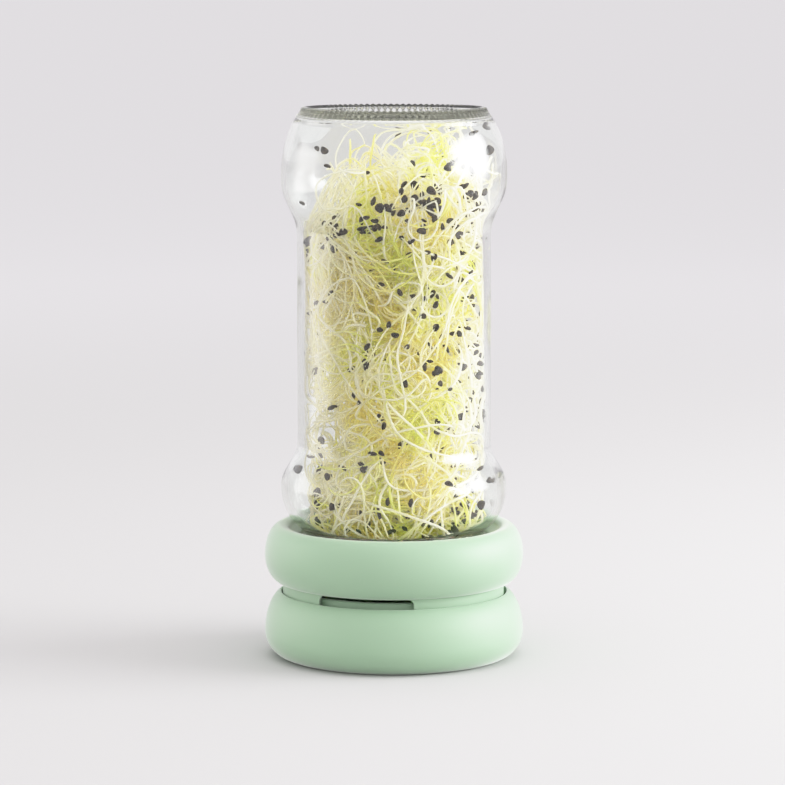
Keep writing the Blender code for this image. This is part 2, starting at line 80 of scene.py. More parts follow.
LAMP_FULL = 0.18                # a lamp is even this far from its middle, as a share of its width,
LAMP_EDGE = 0.5                 # and has faded to nothing here
TONE_CURVE = [(0.0, 0.0), (0.30, 0.30), (0.60, 0.60), (0.80, 0.765), (1.0, 0.88), (1.4, 0.97)]
LIGHT_BOUNCES = 32              # light bounces many times between the wet, pale sprouts


def linear(hex_colour):
    """A colour as linear red, green, blue and alpha, from its sRGB hex value."""
    channels = [int(hex_colour[i:i + 2], 16) / 255 for i in (1, 3, 5)]
    return [c / 12.92 if c <= 0.04045 else ((c + 0.055) / 1.055) ** 2.4 for c in channels] + [1.0]


def add_node(tree, kind, inputs, **settings):
    """Adds a node. inputs gives each socket, by name or number, a value or the socket that feeds it."""
    node = tree.nodes.new(kind)
    for name, value in settings.items():
        setattr(node, name, value)
    for name, value in inputs.items():
        if isinstance(value, bpy.types.NodeSocket):
            tree.links.new(value, node.inputs[name])
        else:
            node.inputs[name].default_value = value
    return node


def new_material(name):
    """An empty material and its node tree."""
    material = bpy.data.materials.new(name)
    material.use_nodes = True
    material.node_tree.nodes.clear()
    return material, material.node_tree


def add_lamp(name, lamp):
    """A soft rectangular light that faces the jar and fades towards its edges."""
    aim = (LAMP_TARGET - Vector(lamp["place"])).to_track_quat('-Z', 'Y').to_euler()
    bpy.ops.object.light_add(type='AREA', location=lamp["place"], rotation=aim)
    light = bpy.context.object
    light.name = name
    light.data.shape = 'RECTANGLE'
    light.data.size, light.data.size_y = lamp["size"]
    light.data.energy = lamp["radiance"] * math.pi * lamp["size"][0] * lamp["size"][1]
    light.data.color = linear(lamp["colour"])[:3]
    light.data.use_nodes = True
    tree = light.data.node_tree
    tree.nodes.clear()
    across = add_node(tree, "ShaderNodeNewGeometry", {}).outputs["Parametric"]
    centred = add_node(tree, "ShaderNodeVectorMath", {0: across, 1: (0.5, 0.5, 0.0)}, operation='SUBTRACT')
    apart = add_node(tree, "ShaderNodeSeparateXYZ", {0: centred.outputs["Vector"]})
    edges = []
    for axis in "XY":
        size = add_node(tree, "ShaderNodeMath", {0: apart.outputs[axis]}, operation='ABSOLUTE')
        edge = add_node(tree, "ShaderNodeMapRange", {
            "Value": size.outputs["Value"], "From Min": LAMP_FULL, "From Max": LAMP_EDGE,
            "To Min": 1.0, "To Max": 0.0}, interpolation_type='SMOOTHSTEP')
        edges.append(edge.outputs["Result"])
    glow = add_node(tree, "ShaderNodeMath", {0: edges[0], 1: edges[1]}, operation='MULTIPLY')
    emission = add_node(tree, "ShaderNodeEmission", {"Strength": glow.outputs["Value"]})
    add_node(tree, "ShaderNodeOutputLight", {"Surface": emission.outputs["Emission"]})
    light.visible_camera = False
    return light


view = bpy.context.scene.view_settings
view.view_transform = 'Standard'
view.use_curve_mapping = True
curve = view.curve_mapping.curves[3]
view.curve_mapping.clip_max_x = TONE_CURVE[-1][0]
for point, (x, y) in zip(curve.points, (TONE_CURVE[0], TONE_CURVE[-1])):
    point.location = (x, y)
for x, y in TONE_CURVE[1:-1]:
    curve.points.new(x, y)
view.curve_mapping.update()
cycles = bpy.context.scene.cycles
cycles.max_bounces = LIGHT_BOUNCES
cycles.diffuse_bounces = LIGHT_BOUNCES
cycles.glossy_bounces = LIGHT_BOUNCES
cycles.transmission_bounces = LIGHT_BOUNCES
cycles.transparent_max_bounces = LIGHT_BOUNCES
sky = bpy.data.worlds.new("pale sky")
sky.use_nodes = True
tree = sky.node_tree
tree.nodes.clear()
way = add_node(tree, "ShaderNodeTexCoord", {}).outputs["Generated"]
ahead = add_node(tree, "ShaderNodeVectorMath", {0: way, 1: SKY_BRIGHT_WAY}, operation='DOT_PRODUCT')
glow = add_node(tree, "ShaderNodeMapRange", {
    "Value": ahead.outputs["Value"], "From Min": -1.0, "From Max": 1.0})
sky_colour = add_node(tree, "ShaderNodeMix", {
    "Factor": glow.outputs["Result"], 6: linear(SKY_DIM), 7: linear(SKY_BRIGHT)}, data_type='RGBA')
background = add_node(tree, "ShaderNodeBackground", {
    "Color": sky_colour.outputs[2], "Strength": SKY_STRENGTH})
add_node(tree, "ShaderNodeOutputWorld", {"Surface": background.outputs["Background"]})
bpy.context.scene.world = sky

bpy.ops.mesh.primitive_circle_add(vertices=FLOOR_SIDES, radius=FLOOR_RADIUS, fill_type='NGON')
floor = bpy.context.object
floor.name = "floor"
paper, tree = new_material("pale matte paper")
place = add_node(tree, "ShaderNodeTexCoord", {})
distance = add_node(tree, "ShaderNodeVectorMath", {0: place.outputs["Object"]}, operation='LENGTH')
reach = add_node(tree, "ShaderNodeMapRange", {
    "Value": distance.outputs["Value"], "From Min": FLOOR_NEAR_REACH, "From Max": FLOOR_FAR_REACH},
    interpolation_type='SMOOTHSTEP')
shade = add_node(tree, "ShaderNodeMix", {
    "Factor": reach.outputs["Result"], 6: linear(FLOOR_NEAR), 7: linear(FLOOR_FAR)}, data_type='RGBA')
matte = add_node(tree, "ShaderNodeBsdfDiffuse", {"Color": shade.outputs[2]})
add_node(tree, "ShaderNodeOutputMaterial", {"Surface": matte.outputs["BSDF"]})
floor.data.materials.append(paper)

add_lamp("window_light", WINDOW)
fill = add_lamp("fill_light", FILL)

# The plane of the fill light cuts the floor and would draw an edge across it, so it leaves the floor unlit.
unlit_by_fill = bpy.data.collections.new("unlit by the fill")
unlit_by_fill.objects.link(floor)
fill.light_linking.receiver_collection = unlit_by_fill
unlit_by_fill.collection_objects[0].light_linking.link_state = 'EXCLUDE'

add_lamp("ceiling_light", CEILING)


# ---- Drip tray ----
# A low round bowl with a bulged wall, moulded in one piece from soft mint-green silicone. The collar's skirt
# drops into a groove round its bowl, and the mould's satin finish gives it an even, soft sheen.
TURN_STEPS = 240                # faces round a turned piece
WELD = 0.000002                 # points closer than this are one
TRAY_FOOT_RADIUS = 0.0405
TRAY_BULGE_Z = 0.0095
TRAY_RIM_Z = 0.0246
TRAY_RIM_ANGLE = 72.0
TRAY_RIM_ROUND = 0.0005
TRAY_RIM_SINK = 1.2 * TRAY_RIM_ROUND
TRAY_FLOOR = 0.0035
TRAY_FLOOR_RINGS = (0.0, 0.012, 0.022)
TRAY_FOOT_RINGS = (0.030, 0.015, 0.0)
TRAY_WELL_RADIUS = 0.0374
TRAY_WELL_FILLET = 0.0015
GROOVE_INNER_RADIUS = 0.0395
GROOVE_OUTER_RADIUS = 0.0426
GROOVE_FLOOR_Z = 0.0167
GROOVE_FILLET = 0.0008

SILICONE_COLOUR = "#95B596"
SILICONE_FADED = "#9BB79B"      # where the surface carries a trace of bloom
SILICONE_ROUGHNESS = (0.51, 0.58)
SILICONE_GRAIN = 0.00035        # the mould's satin texture, drawn a little coarse so that it shows
SILICONE_CLOUD = 0.030          # size of the faint clouds of bloom

tray_low, tray_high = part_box("drip_tray")
tray_radius = tray_high.x


def arc(centre_r, centre_z, half_r, half_z, start, end, count):
    """Points (radius, height) along an ellipse, from one angle to another in degrees."""
    angles = np.radians(np.linspace(start, end, count))
    return [(centre_r + half_r * math.cos(a), centre_z + half_z * math.sin(a)) for a in angles]


def turn(name, outline, steps):
    """A turned piece: a closed outline of (radius, height) points, spun round the Z axis."""
    bpy.ops.object.select_all(action='DESELECT')
    bpy.ops.mesh.primitive_circle_add(vertices=len(outline), fill_type='NOTHING')
    piece = bpy.context.object
    piece.name = name
    piece.data.name = name
    for vertex, (radius, height) in zip(piece.data.vertices, outline):
        vertex.co = (radius, 0, height)
    bpy.ops.object.mode_set(mode='EDIT')
    bpy.ops.mesh.select_all(action='SELECT')
    bpy.ops.mesh.spin(steps=steps, angle=2 * math.pi, center=(0, 0, 0), axis=(0, 0, 1))
    bpy.ops.mesh.select_all(action='SELECT')
    bpy.ops.mesh.remove_doubles(threshold=WELD)
    bpy.ops.mesh.delete_loose(use_verts=True, use_edges=True, use_faces=False)
    bpy.ops.mesh.select_all(action='SELECT')
    bpy.ops.mesh.normals_make_consistent(inside=False)
    bpy.ops.object.mode_set(mode='OBJECT')
    return piece


def finish_piece(piece, material, replaced, sharp=35):
    """Smooths a piece, gives it its material, hangs it under the root body, and hides the parts of the frame
    that it stands for.
    """
    bpy.ops.object.select_all(action='DESELECT')
    piece.select_set(True)
    bpy.context.view_layer.objects.active = piece
    bpy.ops.object.shade_smooth_by_angle(angle=math.radians(sharp))
    piece.data.materials.clear()
    piece.data.materials.append(material)
    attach(piece, "root")
    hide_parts(*replaced)


def moulded_silicone():
    """Soft moulded silicone: a satin surface with fine mould grain and faint clouds of bloom."""
    material, tree = new_material("moulded mint silicone")
    place = add_node(tree, "ShaderNodeTexCoord", {}).outputs["Object"]
    cloud = add_node(tree, "ShaderNodeTexNoise", {
        "Vector": place, "Scale": 1 / SILICONE_CLOUD, "Detail": 3.0, "Roughness": 0.5})
    colour = add_node(tree, "ShaderNodeMix", {
        "Factor": cloud.outputs["Fac"], 6: linear(SILICONE_COLOUR), 7: linear(SILICONE_FADED)},
        data_type='RGBA')
    gloss = add_node(tree, "ShaderNodeMapRange", {
        "Value": cloud.outputs["Fac"], "From Min": 0.3, "From Max": 0.7,
        "To Min": SILICONE_ROUGHNESS[0], "To Max": SILICONE_ROUGHNESS[1]})
    grain = add_node(tree, "ShaderNodeTexNoise", {
        "Vector": place, "Scale": 1 / SILICONE_GRAIN, "Detail": 2.0, "Roughness": 0.6})
    bump = add_node(tree, "ShaderNodeBump", {
        "Height": grain.outputs["Fac"], "Strength": 0.12, "Distance": 0.00008})
    shader = add_node(tree, "ShaderNodeBsdfPrincipled", {
        "Base Color": colour.outputs[2], "Roughness": gloss.outputs["Result"],
        "Normal": bump.outputs["Normal"], "IOR": 1.58, "Sheen Weight": 0.80, "Sheen Roughness": 0.4,
        "Subsurface Weight": 0.10, "Subsurface Radius": (0.8, 1.0, 0.7), "Subsurface Scale": 0.003})
    add_node(tree, "ShaderNodeOutputMaterial", {"Surface": shader.outputs["BSDF"]})
    return material


mint_silicone = moulded_silicone()

bulge_depth = tray_radius - TRAY_FOOT_RADIUS
bulge_height = (TRAY_RIM_Z - TRAY_BULGE_Z) / math.sin(math.radians(TRAY_RIM_ANGLE))
inner_wall = (TRAY_WELL_RADIUS + GROOVE_INNER_RADIUS) / 2
half_wall = (GROOVE_INNER_RADIUS - TRAY_WELL_RADIUS) / 2
tray_outline = [(radius, TRAY_FLOOR) for radius in TRAY_FLOOR_RINGS]
tray_outline += arc(TRAY_WELL_RADIUS - TRAY_WELL_FILLET, TRAY_FLOOR + TRAY_WELL_FILLET,
                    TRAY_WELL_FILLET, TRAY_WELL_FILLET, -90, 0, 10)
tray_outline += arc(inner_wall, tray_high.z - half_wall, half_wall, half_wall, 180, 0, 10)
tray_outline += arc(GROOVE_INNER_RADIUS + GROOVE_FILLET, GROOVE_FLOOR_Z + GROOVE_FILLET,
                    GROOVE_FILLET, GROOVE_FILLET, 180, 270, 4)
tray_outline += arc(GROOVE_OUTER_RADIUS - GROOVE_FILLET, GROOVE_FLOOR_Z + GROOVE_FILLET,
                    GROOVE_FILLET, GROOVE_FILLET, 270, 360, 4)
rim_outer = arc(TRAY_FOOT_RADIUS, TRAY_BULGE_Z, bulge_depth, bulge_height, TRAY_RIM_ANGLE, 0, 20)
tray_outline += arc(GROOVE_OUTER_RADIUS + TRAY_RIM_ROUND, rim_outer[0][1] - TRAY_RIM_SINK,
                    TRAY_RIM_ROUND, TRAY_RIM_ROUND, 180, 75, 5)
tray_outline += rim_outer[1:]
tray_outline += arc(TRAY_FOOT_RADIUS, TRAY_BULGE_Z, bulge_depth, TRAY_BULGE_Z, 0, -90, 18)[1:]
tray_outline += [(radius, 0.0) for radius in TRAY_FOOT_RINGS]

tray = turn("tray", tray_outline, TURN_STEPS)
finish_piece(tray, mint_silicone, ["drip_tray"])


# ---- Collar ----
# A thick ring of the same mint silicone, bulged outside and threaded inside, that the jar's neck screws into.
# Its skirt stands in the tray's groove, and three notches in the skirt let air in and water out.
COLLAR_BULGE_Z = 0.0386
COLLAR_CREST_RADIUS = 0.0430
SKIRT_RADIUS = 0.0422
SKIRT_WALL = 0.0022
SKIRT_TOP_Z = 0.0282
SKIRT_EDGE = 0.0005
LEDGE_INNER_RADIUS = 0.0298
LEDGE_BOTTOM_Z = 0.0284
LEDGE_TOP_Z = 0.0299
LEDGE_ROUND = 0.0005
SEAT_RADIUS = 0.0360
SEAT_TOP_Z = 0.0333
SOCKET_RADIUS = 0.0362
SOCKET_STEP = 0.0003
SOCKET_TOP_Z = 0.0452
FUNNEL_TOP = (0.0399, 0.0486)
LIP_SHOULDER = (0.04035, 0.0492)
LIP_ROUND = (0.0412, 0.0496)
LUG_COUNT = 4
LUG_RADIUS = 0.0013
LUG_PATH_RADIUS = 0.0355
LUG_Z = 0.0406
LUG_START = 27.0
LUG_SWEEP = 16.0
RIB_STEP = 3.0                  # degrees between the rings of a lug or thread
RIB_TIP = 0.45                  # its ends are this thick, as a share,
RIB_SWELL = 6.0                 # and it is full after about a tenth of its length
VENT_COUNT = 3
VENT_FIRST_ANGLE = -105.5
VENT_WIDTH = 0.0363
VENT_TOP_Z = 0.0280
VENT_CORNER = 0.0020
VENT_DEPTH = 0.0120
VENT_OVERRUN = 0.002            # how far the cutter reaches past the skirt's edge

collar_low, collar_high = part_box("collar_lid")
collar_radius = collar_high.x


def ease(start, end, count):
    """Points along an S-curve between two (radius, height) points, upright at both ends."""
    points = []
    for t in np.linspace(0, 1, count):
        blend = (1 - math.cos(math.pi * t)) / 2
        points.append((start[0] + (end[0] - start[0]) * blend, start[1] + (end[1] - start[1]) * t))
    return points


def rib(name, path_radius, low_z, high_z, start, sweep, radius):
    """A rounded rib with tapered ends along a short helix, as a closed mesh."""
    curve = bpy.data.curves.new(name, 'CURVE')
    curve.dimensions = '3D'
    curve.bevel_depth = radius
    curve.bevel_resolution = 3
    curve.use_fill_caps = True
    count = max(8, int(sweep / RIB_STEP))
    spline = curve.splines.new('POLY')
    spline.points.add(count - 1)
    for t, point in zip(np.linspace(0, 1, count), spline.points):
        angle = math.radians(start + sweep * t)
        point.co = (path_radius * math.cos(angle), path_radius * math.sin(angle),
                    low_z + (high_z - low_z) * t, 1)
        point.radius = min(1.0, RIB_TIP + RIB_SWELL * min(t, 1 - t))
    piece = bpy.data.objects.new(name, curve)
    bpy.context.scene.collection.objects.link(piece)
    bpy.ops.object.select_all(action='DESELECT')
    piece.select_set(True)
    bpy.context.view_layer.objects.active = piece
    bpy.ops.object.convert(target='MESH')
    piece = bpy.context.object
    bpy.ops.object.mode_set(mode='EDIT')
    bpy.ops.mesh.select_all(action='SELECT')
    bpy.ops.mesh.remove_doubles(threshold=WELD)
    bpy.ops.mesh.normals_make_consistent(inside=False)
    bpy.ops.object.mode_set(mode='OBJECT')
    return piece


def join(pieces):
    """One object out of several."""
    bpy.ops.object.select_all(action='DESELECT')
    for piece in pieces:
        piece.select_set(True)
    bpy.context.view_layer.objects.active = pieces[0]
    bpy.ops.object.join()
    return bpy.context.object


def combine(piece, operation, tool):
    """Cuts the tool from the piece, or unites it with the piece, and removes the tool."""
    bpy.ops.object.select_all(action='DESELECT')
    bpy.context.view_layer.objects.active = piece
    boolean = piece.modifiers.new(tool.name, 'BOOLEAN')
    boolean.operation = operation
    boolean.solver = 'EXACT'
    boolean.object = tool
    bpy.ops.object.modifier_apply(modifier=boolean.name)
    bpy.data.objects.remove(tool)


def vent_cutter(index):
    """A block across the skirt, with its two upper edges rounded over."""
    height = VENT_TOP_Z - collar_low.z + VENT_OVERRUN
    bpy.ops.object.select_all(action='DESELECT')
    bpy.ops.mesh.primitive_cube_add(size=1, scale=(VENT_DEPTH, VENT_WIDTH, height))
    cutter = bpy.context.object
    bpy.ops.object.transform_apply(location=False, rotation=False, scale=True)
    for edge in cutter.data.edges:
        first, second = (cutter.data.vertices[i].co for i in edge.vertices)
        edge.select = abs(first.x - second.x) > VENT_DEPTH / 2 and first.z > 0
    for face in cutter.data.polygons:
        face.select = False
    bpy.ops.object.mode_set(mode='EDIT')
    bpy.ops.mesh.select_mode(type='EDGE')
    bpy.ops.mesh.bevel(offset=VENT_CORNER, segments=8)
    bpy.ops.object.mode_set(mode='OBJECT')
    angle = math.radians(VENT_FIRST_ANGLE + 360 / VENT_COUNT * index)
    centre = SKIRT_RADIUS - VENT_DEPTH / 4
    cutter.location = (centre * math.cos(angle), centre * math.sin(angle), VENT_TOP_Z - height / 2)
    cutter.rotation_euler.z = angle
    bpy.ops.object.transform_apply(location=True, rotation=True, scale=False)
    return cutter


skirt_inside = SKIRT_RADIUS - SKIRT_WALL
collar_outline = arc(COLLAR_CREST_RADIUS, COLLAR_BULGE_Z, collar_radius - COLLAR_CREST_RADIUS,
                     collar_high.z - COLLAR_BULGE_Z, 90, 0, 20)
collar_outline += arc(SKIRT_RADIUS, COLLAR_BULGE_Z, collar_radius - SKIRT_RADIUS,
                      COLLAR_BULGE_Z - SKIRT_TOP_Z, 0, -90, 18)[1:]
collar_outline += arc(SKIRT_RADIUS - SKIRT_EDGE, collar_low.z + SKIRT_EDGE, SKIRT_EDGE, SKIRT_EDGE,
                      0, -90, 5)
collar_outline += arc(skirt_inside + SKIRT_EDGE, collar_low.z + SKIRT_EDGE, SKIRT_EDGE, SKIRT_EDGE,
                      -90, -180, 5)
collar_outline += [(skirt_inside, LEDGE_BOTTOM_Z)]
collar_outline += arc(LEDGE_INNER_RADIUS + LEDGE_ROUND, LEDGE_BOTTOM_Z + LEDGE_ROUND,
                      LEDGE_ROUND, LEDGE_ROUND, -90, -180, 4)
collar_outline += arc(LEDGE_INNER_RADIUS + LEDGE_ROUND, LEDGE_TOP_Z - LEDGE_ROUND,
                      LEDGE_ROUND, LEDGE_ROUND, 180, 90, 4)
collar_outline += [(SEAT_RADIUS, LEDGE_TOP_Z), (SEAT_RADIUS, SEAT_TOP_Z),
                   (SOCKET_RADIUS, SEAT_TOP_Z + SOCKET_STEP), (SOCKET_RADIUS, SOCKET_TOP_Z)]
collar_outline += ease((SOCKET_RADIUS, SOCKET_TOP_Z), FUNNEL_TOP, 9)[1:]
collar_outline += [LIP_SHOULDER, LIP_ROUND]

collar = turn("collar", collar_outline, TURN_STEPS)
for index in range(VENT_COUNT):
    combine(collar, 'DIFFERENCE', vent_cutter(index))
lugs = [rib(f"lug_{i}", LUG_PATH_RADIUS, LUG_Z, LUG_Z, LUG_START + 360 / LUG_COUNT * i,
            LUG_SWEEP, LUG_RADIUS) for i in range(LUG_COUNT)]
combine(collar, 'UNION', join(lugs))
finish_piece(collar, mint_silicone, ["collar_lid"])


# ---- Strainer and seal ----
# The strainer is a disc of thin stainless sheet, punched with holes, that keeps the crop in the jar. The seal
# is a flat ring of translucent white silicone between the jar's lip and the strainer.
SHEET_BRUSH = 0.00025           # spacing of the rolling marks
SHEET_BRUSH_LENGTH = 20         # how much longer than wide a mark is
SEAL_CLOUD = 1 / 180            # size of the faint clouds in the seal, 5.6 mm

sheet, tree = new_material("punched stainless sheet")
place = add_node(tree, "ShaderNodeTexCoord", {}).outputs["Object"]
stretched = add_node(tree, "ShaderNodeMapping", {"Vector": place, "Scale": (1, SHEET_BRUSH_LENGTH, 1)})
marks = add_node(tree, "ShaderNodeTexNoise", {
    "Vector": stretched.outputs["Vector"], "Scale": 1 / (SHEET_BRUSH * SHEET_BRUSH_LENGTH), "Detail": 3.0})
gloss = add_node(tree, "ShaderNodeMapRange", {
    "Value": marks.outputs["Fac"], "To Min": 0.22, "To Max": 0.42})
relief = add_node(tree, "ShaderNodeBump", {
    "Height": marks.outputs["Fac"], "Strength": 0.15, "Distance": 0.00003})
steel = add_node(tree, "ShaderNodeBsdfPrincipled", {
    "Base Color": linear("#C9CACB"), "Metallic": 1.0, "Roughness": gloss.outputs["Result"],
    "Normal": relief.outputs["Normal"]})
add_node(tree, "ShaderNodeOutputMaterial", {"Surface": steel.outputs["BSDF"]})

gasket, tree = new_material("translucent silicone seal")
place = add_node(tree, "ShaderNodeTexCoord", {}).outputs["Object"]
haze = add_node(tree, "ShaderNodeTexNoise", {"Vector": place, "Scale": 1 / SEAL_CLOUD, "Detail": 2.0})
tone = add_node(tree, "ShaderNodeMix", {
    "Factor": haze.outputs["Fac"], 6: linear("#DDE0DA"), 7: linear("#ECEDE9")}, data_type='RGBA')
rubber = add_node(tree, "ShaderNodeBsdfPrincipled", {
    "Base Color": tone.outputs[2], "Roughness": 0.45, "IOR": 1.41, "Subsurface Weight": 0.3,
    "Subsurface Scale": 0.002})
add_node(tree, "ShaderNodeOutputMaterial", {"Surface": rubber.outputs["BSDF"]})

for name, finish in (("strainer_disc", sheet), ("seal_ring", gasket)):
    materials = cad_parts[name].data.materials
    materials.clear()
    materials.append(finish)


# ---- Glass jar ----
# A pressed and blown soda-lime food jar with a bulge at either end of its waist. It stands on its mouth, so
# the knurled bearing ring and the push-up of its base are on top. Blown walls are never quite even.
JAR_STEPS = 450
JAR_WALL = 0.0024
LIP_OUTER_ROUND = 0.0008
LIP_INNER_ROUND = 0.0007
LIP_EDGE = 0.0010
BORE_RADIUS = 0.0310
BORE_TOP_Z = 0.0400
BORE_FLARE = 0.0002
FINISH_RADIUS = 0.0337
THREAD_COUNT = 4
THREAD_RADIUS = 0.00115
THREAD_LOW_Z = 0.0355
THREAD_HIGH_Z = 0.0378
THREAD_SWEEP = 70.0
BEAD_RADIUS = 0.0354
BEAD_Z = 0.0448
BEAD_WIDTH = 0.0010
BEAD_HALF_HEIGHT = 0.0015
BEAD_FOOT = 0.0024
NECK_RADIUS = 0.0342
NECK_Z = 0.0472
NECK_ROUND = (0.0002, 0.0004)   # the neck turns out into the bulge over this width and height
LOW_BULGE_Z = 0.0640
LOW_BULGE_DEPTH = 0.0156
LOW_BULGE_DROP = 0.0180
LOW_BULGE_END = 62.7            # degrees of the bulge's arc, outside and inside
LOW_BULGE_INSIDE_END = 71
LOW_BULGE_BELT = 0.001          # the bulge is straight over this height at its widest
WAIST_RADIUS = 0.0365
WAIST_LOW_Z = 0.0810
WAIST_HIGH_Z = 0.1600
TOP_BULGE_RADIUS = 0.0424
TOP_BULGE_LOW_Z = 0.1800
TOP_BULGE_Z = 0.1830
TOP_BULGE_DEPTH = 0.0200
TOP_BULGE_RISE = 0.0300
TOP_BULGE_END = 54.7
TOP_BULGE_BLEND = 4             # its arc stops this many degrees short and runs straight to the bearing ring
BEARING_RADIUS = 0.0334
BEARING_WIDTH = 0.0032
BEARING_HEIGHT = 0.0010
PUSH_UP_RADIUS = 0.0308
PUSH_UP_Z = 0.2056
PUSH_UP_EDGE_DROP = 0.0012
INSIDE_BASE_Z = 0.2032
INSIDE_CORNER = 0.0016
KNURL_COUNT = 90                # one every 2.3 mm round the bearing ring
KNURL_DEPTH = 0.00050           # cut into the top of the ring
KNURL_REACH = 0.0016            # and this far down from it
KNURL_FADE = 1.6                # how evenly they fill the ring's width,
KNURL_SPREAD = 0.90             # and how much of it
HEEL_END = 40.0                 # the mesh is finer from here up, in degrees of the bulge's arc
HEEL_DROP = 0.0042              # fainter knurls go on over the heel of the base, to this far below the ring,
HEEL_FADE = 0.0018              # and are full this far above their end
HEEL_KNURL_DEPTH = 0.00034
OUTSIDE_WAVE = 0.00005          # how far the blown wall swells in and out, outside and inside
INSIDE_WAVE = 0.00014
WAVES = [                       # size, waves round the jar, waves along it in radians a metre, and start
    (1.0, 3, 70, 0.0), (0.7, 5, -130, 1.3), (0.5, 2, 260, 0.7), (0.4, 9, 90, 0.0)]
WAVE_FADE = 0.006               # the waves fade out over this height at neck and base,
WAVE_END = 0.008                # and are gone this far below the bearing ring
FLAT_MARGIN = 0.0005            # the inner wall's line leaves out the flat of the base by this much
BASE_MARGIN = 0.0002            # how far above the inside of the base a point still counts as inside

jar_low, jar_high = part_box("glass_jar")
low_bulge_radius = jar_high.x


def jar_outside():
    """The outside of the jar, from the middle of its push-up down to its lip."""
    points = []
    for share in np.linspace(0, 1, 9):
        rise = (jar_high.z - PUSH_UP_EDGE_DROP - PUSH_UP_Z) * share ** 2
        points.append((PUSH_UP_RADIUS * share, PUSH_UP_Z + rise))
    points += arc(BEARING_RADIUS, jar_high.z - BEARING_HEIGHT, BEARING_WIDTH / 2, BEARING_HEIGHT,
                  165, 15, 9)
    points += arc(TOP_BULGE_RADIUS - TOP_BULGE_DEPTH, TOP_BULGE_Z, TOP_BULGE_DEPTH, TOP_BULGE_RISE,
                  TOP_BULGE_END - TOP_BULGE_BLEND, HEEL_END, 9)
    points += arc(TOP_BULGE_RADIUS - TOP_BULGE_DEPTH, TOP_BULGE_Z, TOP_BULGE_DEPTH, TOP_BULGE_RISE,
                  HEEL_END, 0, 13)[1:]
    points += ease((TOP_BULGE_RADIUS, TOP_BULGE_LOW_Z), (WAIST_RADIUS, WAIST_HIGH_Z), 12)
    points += [(WAIST_RADIUS, z) for z in np.linspace(WAIST_HIGH_Z, WAIST_LOW_Z, 12)[1:-1]]
    points += ease((WAIST_RADIUS, WAIST_LOW_Z), (low_bulge_radius, LOW_BULGE_Z + LOW_BULGE_BELT), 12)
    points += arc(low_bulge_radius - LOW_BULGE_DEPTH, LOW_BULGE_Z, LOW_BULGE_DEPTH, LOW_BULGE_DROP,
                  0, -LOW_BULGE_END, 12)
    points += [(NECK_RADIUS + NECK_ROUND[0], NECK_Z + NECK_ROUND[1]), (NECK_RADIUS, NECK_Z - NECK_ROUND[0])]
    points += arc(BEAD_RADIUS - BEAD_WIDTH, BEAD_Z, BEAD_WIDTH, BEAD_HALF_HEIGHT, 70, -70, 7)
    points += [(FINISH_RADIUS, BEAD_Z - BEAD_FOOT), (FINISH_RADIUS, jar_low.z + LIP_EDGE)]
    points += arc(FINISH_RADIUS - LIP_OUTER_ROUND, jar_low.z + LIP_OUTER_ROUND, LIP_OUTER_ROUND,
                  LIP_OUTER_ROUND, -20, -90, 4)
    return points


def jar_inside():
    """The inside of the jar, from its lip up the bore to the middle of its base."""
    waist = WAIST_RADIUS - JAR_WALL
    points = arc(BORE_RADIUS + LIP_INNER_ROUND, jar_low.z + LIP_INNER_ROUND, LIP_INNER_ROUND,
                 LIP_INNER_ROUND, 270, 180, 4)
    points += [(BORE_RADIUS, BORE_TOP_Z), (BORE_RADIUS + BORE_FLARE, NECK_Z)]
    points += arc(low_bulge_radius - LOW_BULGE_DEPTH, LOW_BULGE_Z, LOW_BULGE_DEPTH - JAR_WALL,
                  LOW_BULGE_DROP - JAR_WALL, -LOW_BULGE_INSIDE_END, 0, 12)
    points += ease((low_bulge_radius - JAR_WALL, LOW_BULGE_Z + LOW_BULGE_BELT), (waist, WAIST_LOW_Z), 12)
    points += [(waist, z) for z in np.linspace(WAIST_LOW_Z, WAIST_HIGH_Z, 10)[1:-1]]
    points += ease((waist, WAIST_HIGH_Z), (TOP_BULGE_RADIUS - JAR_WALL, TOP_BULGE_LOW_Z), 12)
    shoulder_r = TOP_BULGE_RADIUS - TOP_BULGE_DEPTH
    half_r, half_z = TOP_BULGE_DEPTH - JAR_WALL, TOP_BULGE_RISE - JAR_WALL
    end = math.asin((INSIDE_BASE_Z - INSIDE_CORNER - TOP_BULGE_Z) / half_z)
    points += arc(shoulder_r, TOP_BULGE_Z, half_r, half_z, 0, math.degrees(end), 14)
    corner_r = points[-1][0] - INSIDE_CORNER
    points += arc(corner_r, INSIDE_BASE_Z - INSIDE_CORNER, INSIDE_CORNER, INSIDE_CORNER, 12, 90, 7)
    points += [(corner_r * share, INSIDE_BASE_Z) for share in np.linspace(0.9, 0, 7)]
    return points


